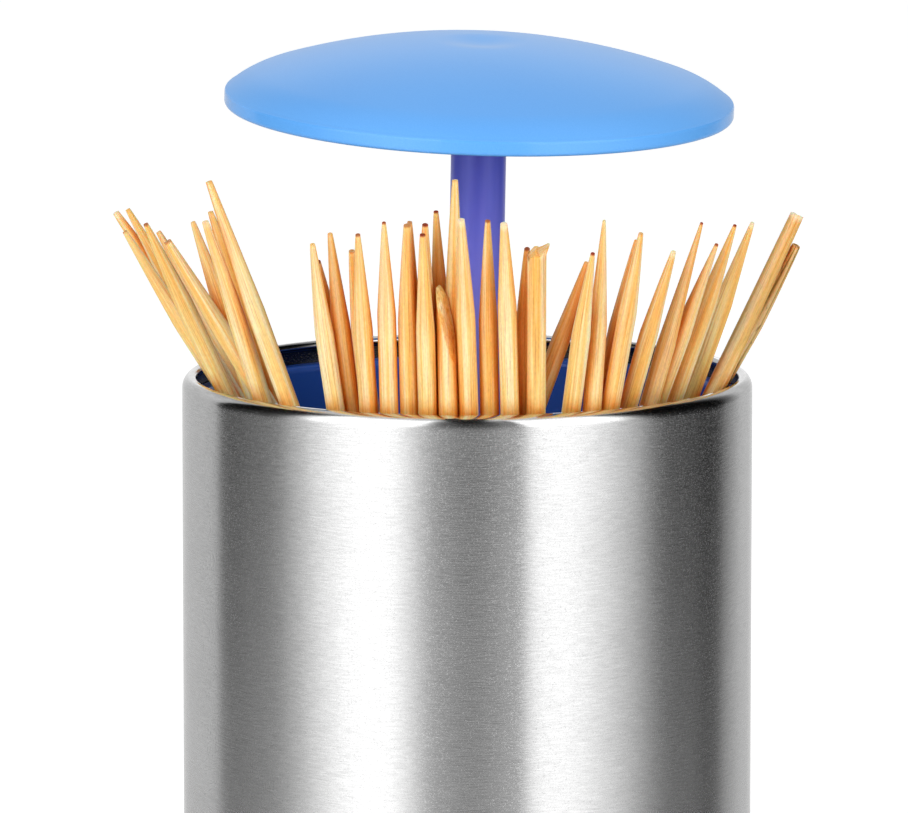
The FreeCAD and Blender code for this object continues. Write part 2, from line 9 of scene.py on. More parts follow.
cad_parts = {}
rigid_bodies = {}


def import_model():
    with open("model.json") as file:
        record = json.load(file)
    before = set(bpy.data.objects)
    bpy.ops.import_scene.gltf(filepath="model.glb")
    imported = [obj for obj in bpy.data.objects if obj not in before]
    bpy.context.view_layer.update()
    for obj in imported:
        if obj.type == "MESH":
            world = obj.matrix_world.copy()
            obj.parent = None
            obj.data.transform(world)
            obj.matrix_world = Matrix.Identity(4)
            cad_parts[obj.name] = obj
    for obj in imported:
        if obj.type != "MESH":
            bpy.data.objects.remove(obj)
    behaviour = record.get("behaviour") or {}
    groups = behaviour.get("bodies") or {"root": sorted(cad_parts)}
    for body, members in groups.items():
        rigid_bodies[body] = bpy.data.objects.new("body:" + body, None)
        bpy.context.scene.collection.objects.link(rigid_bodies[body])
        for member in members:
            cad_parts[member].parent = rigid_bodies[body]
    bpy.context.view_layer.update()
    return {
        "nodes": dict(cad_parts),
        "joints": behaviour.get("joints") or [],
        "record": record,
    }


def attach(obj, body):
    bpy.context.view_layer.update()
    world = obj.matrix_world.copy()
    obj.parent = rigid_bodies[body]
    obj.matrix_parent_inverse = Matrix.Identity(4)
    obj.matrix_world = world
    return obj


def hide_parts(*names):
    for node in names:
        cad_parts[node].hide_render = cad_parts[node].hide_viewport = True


for leftover in list(bpy.data.objects):  # the start-up cube, lamp and camera
    bpy.data.objects.remove(leftover)

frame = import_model()
print("frame loaded:", len(frame["nodes"]), "nodes")

mm = 0.001


# Small helpers for node trees and objects.

def addNode(tree, kind, inputs=None, **settings):
    node = tree.nodes.new(kind)
    for setting, value in settings.items():
        setattr(node, setting, value)
    for socket, value in (inputs or {}).items():
        plug = node.inputs[socket]
        if isinstance(value, bpy.types.NodeSocket):
            tree.links.new(value, plug)
        else:
            plug.default_value = value
    return node


def calc(tree, operation, *values, clamp=False):
    node = addNode(
        tree, "ShaderNodeMath", dict(enumerate(values)), operation=operation, use_clamp=clamp)
    return node.outputs[0]


def mapRange(tree, value, start, end, low, high, **settings):
    node = addNode(tree, "ShaderNodeMapRange", {
        0: value, 1: start, 2: end, 3: low, 4: high}, clamp=True, **settings)
    return node.outputs[0]


def splitPlace(tree, vector):
    return addNode(tree, "ShaderNodeSeparateXYZ", {0: vector}).outputs


def joinPlace(tree, x, y, z):
    return addNode(tree, "ShaderNodeCombineXYZ", {0: x, 1: y, 2: z}).outputs[0]


def blendColours(tree, share, one, other, mode="MIX"):
    node = addNode(tree, "ShaderNodeMix", data_type="RGBA", blend_type=mode)
    for place, value in ((0, share), (6, one), (7, other)):
        plug = node.inputs[place]
        if isinstance(value, bpy.types.NodeSocket):
            tree.links.new(value, plug)
        else:
            plug.default_value = value
    return node.outputs[2]


def ramp(tree, value, stops, interpolation="LINEAR"):
    node = addNode(tree, "ShaderNodeValToRGB", {"Fac": value})
    node.color_ramp.interpolation = interpolation
    points = node.color_ramp.elements
    while len(points) < len(stops):
        points.new(0.5)
    for point, (place, colour) in zip(points, stops):
        point.position = place
        point.color = colour if isinstance(colour, tuple) else (colour, colour, colour, 1)
    return node.outputs["Color"]


def noise(tree, vector, detail=2.0, roughness=0.5, distortion=0.0):
    node = addNode(tree, "ShaderNodeTexNoise", {
        "Vector": vector, "Scale": 1.0, "Detail": detail,
        "Roughness": roughness, "Distortion": distortion})
    return node.outputs["Fac"]


def evenNoise(tree, perMetre, detail=2.0):
    # The same in all directions, on the object's own coordinates.
    return noise(tree, objectPlace(tree, [perMetre] * 3), detail)


def fromScreen(red, green, blue):
    # A colour picked on the screen, 0 to 255, as the linear colour that the nodes take.
    def linear(level):
        level = level / 255
        return level / 12.92 if level <= 0.04045 else ((level + 0.055) / 1.055) ** 2.4
    return (linear(red), linear(green), linear(blue), 1)


def startMaterial(name, **constants):
    material = bpy.data.materials.new(name)
    material.use_nodes = True
    tree = material.node_tree
    shader = tree.nodes["Principled BSDF"]
    for socket, value in constants.items():
        shader.inputs[socket.replace("_", " ")].default_value = value
    return material, tree, shader


def objectPlace(tree, scale=(1, 1, 1), turn=(0, 0, 0)):
    place = addNode(tree, "ShaderNodeTexCoord").outputs["Object"]
    return addNode(tree, "ShaderNodeMapping", {
        "Vector": place, "Scale": scale, "Rotation": turn}).outputs["Vector"]


def bumpFrom(tree, shader, height, distance, strength):
    bump = addNode(tree, "ShaderNodeBump", {
        "Height": height, "Distance": distance, "Strength": strength})
    tree.links.new(bump.outputs["Normal"], shader.inputs["Normal"])


def addObject(name, data):
    added = bpy.data.objects.new(name, data)
    bpy.context.scene.collection.objects.link(added)
    return added


# The brushed steel of the tube.

steelLook = {
    "colour": 0.63,
    "gloss": 0.17,            # roughness along the brush lines
    "stretch": 0.75,          # how much rougher it is across them
    "lineLength": 1.4 * mm,
    "lineWidth": 0.12 * mm,
    "lineTilt": 4.0,          # degrees off the level
    "lineShade": (0.48, 0.76),     # how much the lines change the tone, and its lowest share
    "lineRough": 0.05,
    "lineRelief": 2.0,
    "speckle": 0.13 * mm,
    "speckleFlat": 1.3,       # how much lower than wide a speck is
    "speckleShade": (0.4, 0.795),
    "speckleRelief": 0.25,
    "clouds": (120, 120, 160),     # per metre
    "cloudShade": (0.12, 0.94),
    "cloudRough": 0.03,
    "relief": 0.012 * mm,
    "reliefShare": 0.5,
    "grainSize": 0.8,         # of the duller grains, as the scale of the speckle's noise
    "grainRange": (0.54, 0.7),     # of the noise, from no grain to a full one
    "grains": 0.28,           # how much rougher the duller grains are
    "dullRange": (0.38, 0.64),
    "dullness": 0.055,        # share of plain grey that the duller grains show
    "smoothFrom": 74.4 * mm,  # the rolled lip is smoother than the tube
    "smoothTo": 75.3 * mm,
    "lipGrain": 0.2,          # what is left there of the grain and relief
    "insideRadius": 26.6 * mm,
    "insideTop": 75.3 * mm,
    # the darker colour painted inside the tube as shade
    "insideShadeColour": 0.10,
}


def makeSteel():
    look = steelLook
    material, tree, shader = startMaterial(
        "brushedSteel", Metallic=1.0, Anisotropic=look["stretch"], Anisotropic_Rotation=0.25)
    tangent = addNode(tree, "ShaderNodeTangent", direction_type="RADIAL", axis="Z")
    tree.links.new(tangent.outputs[0], shader.inputs["Tangent"])
    # short faint lines, a crinkled speckle over them, and clouds
    tilt = math.radians(look["lineTilt"])
    along, across, dot = 1 / look["lineLength"], 1 / look["lineWidth"], 1 / look["speckle"]
    flat = dot * look["speckleFlat"]
    lines = noise(tree, objectPlace(tree, (along, along, across), (0, tilt, 0)), roughness=0.6)
    speckle = noise(tree, objectPlace(tree, (dot, dot, flat)), roughness=0.6, distortion=0.8)
    cloud = noise(tree, objectPlace(tree, look["clouds"]), detail=3.0)
    light = calc(tree, "MULTIPLY_ADD", lines, *look["lineShade"])
    for pattern, shade in ((speckle, "speckleShade"), (cloud, "cloudShade")):
        light = calc(tree, "MULTIPLY", light, calc(tree, "MULTIPLY_ADD", pattern, *look[shade]))
    # painted shade: the steel's colour is darkened on the inside of the tube, below the lip
    place = splitPlace(tree, objectPlace(tree))
    squares = [calc(tree, "POWER", place[axis], 2.0) for axis in "XY"]
    radius = calc(tree, "SQRT", calc(tree, "ADD", *squares))
    inside = calc(tree, "LESS_THAN", radius, look["insideRadius"])
    below = calc(tree, "LESS_THAN", place["Z"], look["insideTop"])
    shown = calc(
        tree, "MULTIPLY_ADD", calc(tree, "MULTIPLY", inside, below),
        look["insideShadeColour"] - look["colour"], look["colour"])
    light = calc(tree, "MULTIPLY", light, shown)
    grey = addNode(tree, "ShaderNodeCombineColor", {0: light, 1: light, 2: light}).outputs[0]
    tree.links.new(grey, shader.inputs["Base Color"])
    # sparse duller grains catch light from all round, so dark reflections sparkle a little
    size = dot * look["grainSize"]
    fine = noise(tree, objectPlace(tree, (size, size, flat)), detail=1.0)
    few, full = look["grainRange"]
    grained = mapRange(
        tree, place["Z"], look["smoothFrom"], look["smoothTo"], 1.0, look["lipGrain"])
    grains = calc(tree, "MULTIPLY", ramp(tree, fine, [(few, 0.0), (full, 1.0)]), grained)
    dull = mapRange(tree, fine, *look["dullRange"], 0.0, look["dullness"])
    dull = calc(tree, "MULTIPLY", dull, grained)
    tree.links.new(calc(tree, "SUBTRACT", 1.0, dull), shader.inputs["Metallic"])
    rough = look["gloss"] - look["lineRough"] / 2
    for pattern, share in ((lines, "lineRough"), (cloud, "cloudRough"), (grains, "grains")):
        rough = calc(tree, "MULTIPLY_ADD", pattern, look[share], rough)
    polished = calc(tree, "MULTIPLY_ADD", grained, 0.5, 0.5)
    tree.links.new(calc(tree, "MULTIPLY", rough, polished), shader.inputs["Roughness"])
    relief = calc(
        tree, "MULTIPLY_ADD", speckle, look["speckleRelief"],
        calc(tree, "MULTIPLY", lines, look["lineRelief"]))
    relief = calc(tree, "MULTIPLY", relief, grained)
    bumpFrom(tree, shader, relief, look["relief"], look["reliefShare"])
    return material


# The plastics and the rubber.

satinLook = {
    "index": 1.48,
    "pores": 2600,            # per metre
    "poreShare": 0.6,
    "clouds": 70,
    "cloudRough": 0.1,
}


def makeSatinPlastic(name, colour, roughness, poreDepth, specular=0.5):
    look = satinLook
    material, tree, shader = startMaterial(
        name, Base_Color=colour, IOR=look["index"], Specular_IOR_Level=specular)
    pores = evenNoise(tree, look["pores"])
    cloud = evenNoise(tree, look["clouds"], detail=3.0)
    spread = look["cloudRough"]
    rough = calc(tree, "ADD", roughness - spread / 2, calc(tree, "MULTIPLY", cloud, spread))
    tree.links.new(rough, shader.inputs["Roughness"])
    bumpFrom(tree, shader, pores, poreDepth, look["poreShare"])
    return material, tree, shader


lidLook = {
    "colour": fromScreen(96, 167, 238),
    "deeper": fromScreen(89, 161, 234),
    "paler": fromScreen(103, 173, 242),
    "clouds": 28,             # per metre
    "specks": 9000,
    "cloudShare": 0.6,
    "cloudRough": 0.08,
    "roughness": 0.4,
    "domeRough": 0.36,
    "bandRough": -0.26,       # added on the straight band, which is glossier than the dome
    "poreDepth": 0.006 * mm,
    "specular": 0.4,
    "sheen": 0.06,
    "sheenRoughness": 0.3,
}


def makeLidPlastic():
    look = lidLook
    material, tree, shader = makeSatinPlastic(
        "lidPlastic", look["colour"], look["roughness"], look["poreDepth"], look["specular"])
    cloud = evenNoise(tree, look["clouds"])
    specks = evenNoise(tree, look["specks"], detail=1.0)
    mixed = calc(
        tree, "ADD", calc(tree, "MULTIPLY", cloud, look["cloudShare"]),
        calc(tree, "MULTIPLY", specks, 1 - look["cloudShare"]))
    colour = ramp(tree, mixed, [(0.3, look["deeper"]), (0.7, look["paler"])])
    tree.links.new(colour, shader.inputs["Base Color"])
    band = addNode(tree, "ShaderNodeAttribute", attribute_name="edgeBand").outputs["Fac"]
    rough = calc(tree, "MULTIPLY_ADD", band, look["bandRough"], look["domeRough"])
    rough = calc(tree, "MULTIPLY_ADD", cloud, look["cloudRough"], rough)
    tree.links.new(rough, shader.inputs["Roughness"])
    shader.inputs["Sheen Weight"].default_value = look["sheen"]
    shader.inputs["Sheen Roughness"].default_value = look["sheenRoughness"]
    return material


linerLook = {
    "colour": fromScreen(32, 76, 158),
    "roughness": 0.3,
    "poreDepth": 0.01 * mm,
}


def makeLinerPlastic():
    return makeSatinPlastic("linerPlastic", **linerLook)[0]


stemLook = {
    # the upper colour is darker, as painted shade under the lid
    "upper": fromScreen(66, 84, 214),
    "lower": fromScreen(150, 148, 250),
    "upperLevel": 102 * mm,
    "lowerLevel": 76 * mm,
    "lines": (1500, 1500, 25),     # faint drawn lines along the rod, per metre
    "lineShade": 0.3,
    "roughness": 0.3,
    "poreDepth": 0.004 * mm,
    "clearness": 0.15,
}


def makeStemPlastic():
    # Clear violet plastic that lets light through; darker towards the top under the lid, which is
    # painted shade.
    look = stemLook
    material, tree, shader = makeSatinPlastic(
        "stemPlastic", look["upper"], look["roughness"], look["poreDepth"])
    level = splitPlace(tree, objectPlace(tree))["Z"]
    lines = noise(tree, objectPlace(tree, look["lines"]))
    height = mapRange(tree, level, look["upperLevel"], look["lowerLevel"], 0.0, 1.0)
    height = calc(
        tree, "MULTIPLY_ADD", lines, look["lineShade"],
        calc(tree, "SUBTRACT", height, look["lineShade"] / 2))
    colour = ramp(tree, height, [(0.0, look["upper"]), (1.0, look["lower"])])
    tree.links.new(colour, shader.inputs["Base Color"])
    shader.inputs["Transmission Weight"].default_value = look["clearness"]
    return material


rubberLook = {
    "colour": (0.02, 0.02, 0.022, 1),
    "roughness": 0.7,
    "poreDepth": 0.02 * mm,
    "specular": 0.3,
}


def makeRubber():
    return makeSatinPlastic("blackRubber", **rubberLook)[0]


# The bamboo of the picks.

bambooLook = {
    "pale": fromScreen(255, 243, 192),
    "light": fromScreen(255, 222, 142),
    "amber": fromScreen(254, 204, 110),
    "orange": fromScreen(240, 164, 72),
    "brown": fromScreen(192, 100, 34),
    "scorch": fromScreen(136, 54, 24),
    "bark": fromScreen(124, 116, 42),
    "knots": fromScreen(96, 62, 24),
    "cream": fromScreen(255, 243, 214),
    "shadeTint": fromScreen(228, 160, 94),
    # painted shade between touching picks: its colour, reach and strength
    "creviceShade": fromScreen(242, 180, 96),
    "creviceReach": 1.6 * mm,
    "creviceShare": 1.5,
    "taper": 11.5 * mm,       # how far down the cut shows
    "taperFade": 0.6,
    "glow": 0.6,              # share of light that goes in and comes out beside
    "glowReach": 0.8 * mm,
    # patterns along the grain: scales across and along it, detail and roughness of the noise
    "broad": (1.5, 30, 2.0, 0.55),
    "middle": (4.5, 60, 3.0, 0.55),
    "thin": (8, 120, 3.0, 0.65),
    "specks": (7, 2200, 1.0, 0.55),
    "patch": (0.9, 130, 3.0, 0.55),
    "knotStreaks": (3, 900, 2.0, 0.55),
    # streaks of colour: where in a pattern they start and are full, and how strongly they show
    "tongues": (0.42, 0.6, 0.5),
    "brownFibres": (0.47, 0.34, 0.45),
    "paleFibres": (0.54, 0.66, 0.5),
    "veins": (0.4, 0.3, 0.4),
    "knotMarks": (0.62, 0.7, 0.6),
    "base": ((0.36, "amber"), (0.48, "light"), (0.6, "pale")),
    "skin": ((0.42, 1.0), (0.55, 0.2)),
    "dust": ((0.35, 0.9), (0.6, 1.0)),
    "warmth": 0.5,            # how orange patches and whole picks get
    "warmFrom": 0.28,
    "paleEnd": 1.7 * mm,      # the longest pale end
    "burntEnd": (0.34 * mm, 0.05 * mm),     # how much the scorched end varies, and its least
    "burntFade": 0.7,
    "rough": (0.2, 0.45),     # how much the fibres change it, and its least
    "relief": 0.06 * mm,
    "reliefShare": 0.5,
    "fibreRelief": 0.4,       # share of it that the thin fibres have
}


def makeBamboo():
    # Reads what each pick carries: "fibre" runs with the grain, "tipDistance" is metres from the
    # top, "tone", "shade", "scorch", "cream" and "bark" are the same all over one pick.
    look = bambooLook
    material, tree, shader = startMaterial(
        "splitBamboo", IOR=1.45, Specular_IOR_Level=0.3,
        Subsurface_Weight=look["glow"], Subsurface_Scale=look["glowReach"])

    def carried(name, output="Fac"):
        return addNode(tree, "ShaderNodeAttribute", attribute_name=name).outputs[output]

    def streaks(kind):
        across, along, detail, roughness = look[kind]
        stretched = addNode(tree, "ShaderNodeMapping", {
            "Vector": fibre, "Scale": (across, across, along)}).outputs["Vector"]
        return noise(tree, stretched, detail, roughness)

    def shown(pattern, kind):
        start, full, strength = look[kind]
        share = ramp(tree, pattern, sorted([(start, 0.0), (full, 1.0)]))
        return calc(tree, "MULTIPLY", share, strength)

    def tint(colour, other, share, strength=1.0):
        # moves the colour so far towards another one of the look
        share = calc(tree, "MULTIPLY", share, strength)
        return blendColours(tree, share, colour, look[other])

    def nearTip(length):
        return calc(tree, "SUBTRACT", 1.0, calc(tree, "DIVIDE", tip, length), clamp=True)

    fibre = carried("fibre", "Vector")
    tip = carried("tipDistance")
    broad, middle, thin = streaks("broad"), streaks("middle"), streaks("thin")

    colour = ramp(tree, broad, [(place, look[name]) for place, name in look["base"]])
    tone = calc(tree, "MULTIPLY", carried("tone"), look["warmth"])
    warm = calc(tree, "MULTIPLY_ADD", streaks("patch"), look["warmth"], tone)
    warm = calc(tree, "SUBTRACT", warm, look["warmFrom"], clamp=True)
    colour = tint(colour, "orange", warm)
    # the cut taper shows fibres end on, so it is more orange, in tongues
    onTaper = calc(tree, "POWER", nearTip(look["taper"]), look["taperFade"])
    colour = tint(colour, "orange", shown(middle, "tongues"), onTaper)
    # thin fibres, brown and pale, and broader veins
    colour = tint(colour, "brown", shown(thin, "brownFibres"))
    colour = tint(colour, "pale", shown(thin, "paleFibres"))
    colour = tint(colour, "brown", shown(middle, "veins"))
    # the cane's outer skin on a few, and painted shade on picks that stand in the shadow of others
    bark = carried("bark")
    colour = tint(colour, "bark", ramp(tree, broad, look["skin"]), bark)
    colour = tint(colour, "knots", shown(streaks("knotStreaks"), "knotMarks"), bark)
    dusty = ramp(tree, streaks("specks"), look["dust"])
    colour = blendColours(tree, 1.0, colour, dusty, "MULTIPLY")
    darker = blendColours(tree, 1.0, colour, look["shadeTint"], "MULTIPLY")
    colour = blendColours(tree, carried("shade"), colour, darker)
    # pale ends and scorched tips
    bare = nearTip(calc(tree, "MULTIPLY", middle, look["paleEnd"]))
    colour = tint(colour, "cream", bare, carried("cream"))
    burnt = nearTip(calc(tree, "MULTIPLY_ADD", middle, *look["burntEnd"]))
    burnt = calc(tree, "POWER", burnt, look["burntFade"])
    colour = tint(colour, "scorch", burnt, carried("scorch"))
    # painted shade: a warmer, darker colour where picks touch, from ambient occlusion
    gaps = addNode(
        tree, "ShaderNodeAmbientOcclusion", {"Distance": look["creviceReach"]}, samples=8)
    closed = calc(tree, "SUBTRACT", 1.0, gaps.outputs["AO"])
    deep = calc(tree, "MULTIPLY", closed, look["creviceShare"], clamp=True)
    warmShade = blendColours(tree, 1.0, colour, look["creviceShade"], "MULTIPLY")
    colour = blendColours(tree, deep, colour, warmShade)
    tree.links.new(colour, shader.inputs["Base Color"])

    rough = calc(tree, "MULTIPLY_ADD", thin, *look["rough"])
    tree.links.new(rough, shader.inputs["Roughness"])
    share = look["fibreRelief"]
    relief = calc(
        tree, "MULTIPLY_ADD", middle, 1 - share, calc(tree, "MULTIPLY", thin, share))
    bumpFrom(tree, shader, relief, look["relief"], look["reliefShare"])
    return material


materials = {
    "steel": makeSteel(),
    "liner_plastic": makeLinerPlastic(),
    "pad_rubber": makeRubber(),
    "stem_plastic": makeStemPlastic(),
    "lid_plastic": makeLidPlastic(),
    "bamboo": makeBamboo(),
}
slotOf = {item["node"]: item["material_slot"] for item in frame["record"]["subparts"]}
for nodeName, nodeObject in frame["nodes"].items():
    for held in nodeObject.material_slots:
        held.material = materials[slotOf[nodeName]]
print("materials made:", len(materials))


# The tube and the lid, turned from fine outlines in place of the plainer solids.

sharpFrom = 40  # degrees between faces from which an edge looks sharp


def turnedMesh(name, outline, sides, place=None, band=None):
    # Turns an outline of radius and height pairs, which is a closed ring or starts and ends on
    # the axis. The vertices between the band's two heights are marked for the finish.
    shape = bmesh.new()
    rings = []
    turns = [math.tau * step / sides for step in range(sides)]
    for radius, height in outline:
        if radius == 0:
            rings.append([shape.verts.new((0, 0, height))] * sides)
        else:
            rings.append([
                shape.verts.new((radius * math.cos(turn), radius * math.sin(turn), height))
                for turn in turns])
    pairs = list(zip(rings, rings[1:]))
    if outline[0][0] > 0:
        pairs.append((rings[-1], rings[0]))
    for lower, upper in pairs:
        for step in range(sides):
            following = (step + 1) % sides
            corners = [lower[step], lower[following], upper[following], upper[step]]
            shape.faces.new(list(dict.fromkeys(corners))).smooth = True
    bmesh.ops.recalc_face_normals(shape, faces=shape.faces)
    mesh = bpy.data.meshes.new(name)
    shape.to_mesh(mesh)
    shape.free()
    mesh.set_sharp_from_angle(angle=math.radians(sharpFrom))
    if band:
        marks = mesh.attributes.new("edgeBand", "FLOAT", "POINT").data
        for vertex in mesh.vertices:
            marks[vertex.index].value = float(band[0] <= vertex.co.z <= band[1])
    if place:
        mesh.transform(place)
    return mesh


def arc(middle, radius, start, end, steps):
    # Points on an arc in the outline's plane, angles in degrees from outwards to upwards.
    turns = [math.radians(start + (end - start) * step / steps) for step in range(steps + 1)]
    return [
        (middle[0] + radius * math.cos(turn), middle[1] + radius * math.sin(turn))
        for turn in turns]


def addTurned(name, mesh, body, node, slot):
    mesh.materials.append(materials[slot])
    piece = addObject(name, mesh)
    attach(piece, body)
    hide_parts(node)


tube = {
    "radius": 27 * mm,
    "wall": 0.5 * mm,
    "bottom": 1 * mm,
    "rim": 76 * mm,
    "bend": 1.3 * mm,
    "lip": 25.6 * mm,
    "bead": 0.5 * mm,
    "beadEnd": 260,           # degrees, how far round the bead goes
    "edge": 0.1 * mm,         # bevel at the bottom
    "drops": (40, 10, 2, 0.6, 0.2),     # mm below the bend, where the straight wall has rings
    "bendSteps": 14,
    "beadSteps": 20,
    "sides": 256,
}


def tubeOutline():
    outside, inside = tube["radius"], tube["radius"] - tube["wall"]
    bottom, edge = tube["bottom"], tube["edge"]
    bendMiddle = (outside - tube["bend"], tube["rim"] - tube["bend"])
    # the lip is rolled to a bead that touches the bend from inside
    bead = tube["bead"]
    apart = tube["bend"] - bead
    meet = math.degrees(math.acos((tube["lip"] + bead - bendMiddle[0]) / apart))
    beadMiddle = (tube["lip"] + bead, bendMiddle[1] + apart * math.sin(math.radians(meet)))
    return (
        [(outside - edge, bottom), (outside, bottom + edge)]
        + [(outside, bendMiddle[1] - drop * mm) for drop in tube["drops"]]
        + arc(bendMiddle, tube["bend"], 0, meet, tube["bendSteps"])
        + arc(beadMiddle, bead, meet, tube["beadEnd"], tube["beadSteps"])[1:]
        + [(inside, beadMiddle[1] - bead), (inside, bottom + edge), (inside + edge, bottom)])


lid = {
    "radius": 23.95 * mm,
    "lower": 64.8 * mm,       # levels along the stem, from the ball's centre
    "bandTop": 66.1 * mm,
    "top": 71.5 * mm,
    "crown": 64 * mm,
    "crownReach": 20.5 * mm,
    "edgeRound": 0.4 * mm,
    "domeEnd": 0.45,          # shares of that: where the dome stops, inwards from the side,
    "roundDrop": 0.35,        # how far below the band's top the upper round is centred,
    "flatFrom": 1.2,          # and how far above the lower edge the side is straight
    "hollow": 22.35 * mm,
    "wall": 1.6 * mm,
    "boss": 4.2 * mm,
    "bossLevel": 65.2 * mm,
    "bore": 1.85 * mm,
    "dimple": 4.6 * mm,
    "dimpleDepth": 0.42 * mm,
    "dimpleSteps": 14,
    "crownSteps": 20,
    "domeSteps": 24,
    "edgeSteps": 6,
    "hollowRings": range(21, 5, -3),     # mm from the axis
    "ball": 36.7 * mm,        # the ball's centre above the floor
    "leanFront": 3.3,         # degrees
    "leanSide": 1.0,
    "askew": 0.9,
    "spigotMiddle": 67.3 * mm,
    "rise": 0.04 * mm,
    "markLift": 0.1 * mm,     # how far the marked band stands above the real one
    "sides": 256,
}


def lidOutline():
    def crown(radius, curve, top):
        return top - curve + math.sqrt(curve ** 2 - radius ** 2)

    def hollowed(radius):
        # the soft dimple that a fingertip finds
        share = min(radius / lid["dimple"], 1)
        depth = lid["dimpleDepth"] * math.cos(share * math.pi / 2) ** 2
        return crown(radius, lid["crown"], lid["top"]) - depth

    reach, dimple = lid["crownReach"], lid["dimple"]
    inwards, outwards = lid["dimpleSteps"], lid["crownSteps"]
    radii = [dimple * step / inwards for step in range(inwards + 1)]
    radii += [dimple + (reach - dimple) * step / outwards for step in range(1, outwards + 1)]
    outline = [(radius, hollowed(radius)) for radius in radii]
    # from the crown's edge a tighter arc runs into the band
    start = Vector(outline[-1])
    chord = Vector((lid["radius"], lid["bandTop"])) - start
    slope = math.asin(reach / lid["crown"])
    turn = 2 * (math.atan2(-chord.y, chord.x) - slope)
    curve = chord.length / (2 * math.sin(turn / 2))
    middle = start - Vector((math.sin(slope), math.cos(slope))) * curve
    first = 90 - math.degrees(slope)
    dome = arc(middle, curve, first, first - math.degrees(turn), lid["domeSteps"])[1:]
    edge, low, steps = lid["edgeRound"], lid["lower"], lid["edgeSteps"]
    shoulder = [point for point in dome if point[0] < lid["radius"] - edge * lid["domeEnd"]]
    outline += shoulder
    last = math.degrees(math.atan2(
        shoulder[-1][1] - middle[1], shoulder[-1][0] - middle[0]))
    bandTop = lid["bandTop"] - edge * lid["roundDrop"]
    outline += arc((lid["radius"] - edge, bandTop), edge, last, 0, steps)
    outline += [(lid["radius"], low + edge * lid["flatFrom"])]
    outline += arc((lid["radius"] - edge, low + edge), edge, 0, -90, steps)
    # under the crown the wall is even, with a boss for the stem
    inner, top = lid["crown"] - lid["wall"], lid["top"] - lid["wall"]
    outline += [(lid["hollow"], low), (lid["hollow"], crown(lid["hollow"], inner, top))]
    outline += [(ring * mm, crown(ring * mm, inner, top)) for ring in lid["hollowRings"]]
    outline += [
        (lid["boss"], crown(lid["boss"], inner, top)), (lid["boss"], lid["bossLevel"]),
        (lid["bore"], lid["bossLevel"]), (lid["bore"], top), (0, top)]
    return outline


def lidPlace():
    # The stem leans in its socket, and the lid sits a little askew on the stem's end.
    aside, forwards = (math.tan(math.radians(lid[way])) for way in ("leanSide", "leanFront"))
    lean = Vector((aside, -forwards, 1)).normalized()
    stem = Vector((0, 0, 1)).rotation_difference(lean).to_matrix().to_4x4()
    seat = Matrix.Translation((0, 0, lid["spigotMiddle"]))
    tip = Matrix.Rotation(math.radians(lid["askew"]), 4, "Y")
    return (
        Matrix.Translation((0, 0, lid["ball"])) @ stem @ Matrix.Translation((0, 0, lid["rise"]))
        @ seat @ tip @ seat.inverted())


tubeMesh = turnedMesh("steelTube", tubeOutline(), tube["sides"])
addTurned("steelTube", tubeMesh, "housing", "outer_shell", "steel")
lidBand = (lid["lower"] + lid["markLift"], lid["bandTop"] + lid["markLift"])
lidMesh = turnedMesh("domedLid", lidOutline(), lid["sides"], lidPlace(), lidBand)
addTurned("domedLid", lidMesh, "plunger", "lid", "lid_plastic")
print("tube and lid turned")


# The toothpicks, all grown by one Geometry Nodes tree.

pickLook = {
    "sides": 24,
    "rings": 110,
    "capRings": 6,
    "radius": 0.9 * mm,
    "tipRadius": 0.36 * mm,
    "topRadius": 0.26 * mm,
    "taper": 10 * mm,
    "fullness": 0.92,      # below 1 the taper bulges a little
    "flats": 0.07,         # share of the radius that the flats cut in
    "flatScale": 1.1,      # of the noise that places them round the pick
    "flatRange": (0.3, 0.7),
    "wander": 30.0,        # how fast the flats change along the pick, per metre
    "bend": 0.18 * mm,     # how far a point may stand off the pick's axis
    "bendCurve": 1.5,
    "ragged": 0.1 * mm,    # how deep the fibres at the top are torn
    "tearScale": 2.3,
    "tearMiddle": 0.95,
    "topSpread": (0.85, 1.1),        # how much the radius at the top and its taper vary
    "taperSpread": (0.86, 1.06),
    "tones": (0.05, 0.6),
    # how much painted shade the other picks get, at random
    "shades": (0.0, 0.12),
    "scorch": 0.1,
    "seedStep": 0.37,
    "grainApart": 7.0,     # how far apart the grain of two picks is taken, per step of the seed
}
# What single picks show, by number, counted from the left.
scorched = {
    1: 0.6, 4: 0.8, 6: 0.6, 12: 1.0, 14: 0.8, 15: 0.5, 16: 0.9, 17: 0.6, 18: 0.6, 19: 1.0, 20: 1.0,
    21: 1.0, 25: 0.8, 27: 0.9, 29: 1.0, 32: 0.3, 35: 1.0, 36: 0.9, 37: 1.0, 38: 0.2}
creamy = {2: 0.5, 8: 0.4, 24: 0.6, 26: 0.6, 31: 0.3, 34: 0.6, 38: 0.7, 39: 0.75}
# painted shade, for picks that stand in the shadow of others
shaded = {
    5: 0.15, 9: 0.15, 10: 0.1, 13: 0.15, 15: 0.15, 16: 0.1, 17: 0.1, 18: 0.2, 20: 0.1, 21: 0.2,
    27: 0.25, 30: 0.5, 33: 0.45, 35: 0.3, 37: 0.1, 39: 0.25, 40: 0.3}
barky = {39: 0.25, 40: 1.0}
topRadii = {              # of picks whose point is slimmer or stouter than usual
    2: 0.32 * mm, 6: 0.36 * mm, 8: 0.32 * mm, 10: 0.32 * mm, 16: 0.19 * mm, 17: 0.34 * mm,
    22: 0.9 * mm, 24: 0.32 * mm, 26: 0.34 * mm, 28: 0.9 * mm, 29: 0.2 * mm, 31: 0.15 * mm,
    35: 0.14 * mm, 36: 0.18 * mm, 37: 0.17 * mm, 38: 0.2 * mm, 39: 0.66 * mm, 40: 0.42 * mm}
topTapers = {10: 13 * mm, 23: 12 * mm, 31: 11 * mm, 35: 14 * mm, 39: 16 * mm, 40: 9 * mm}
ragged = {22: 0.4 * mm, 28: 0.14 * mm, 39: 0.5 * mm}
splintered = {28: 0.62 * mm}
blunt = (22, 28)          # these have no point that could stand off the axis
whittled = 22

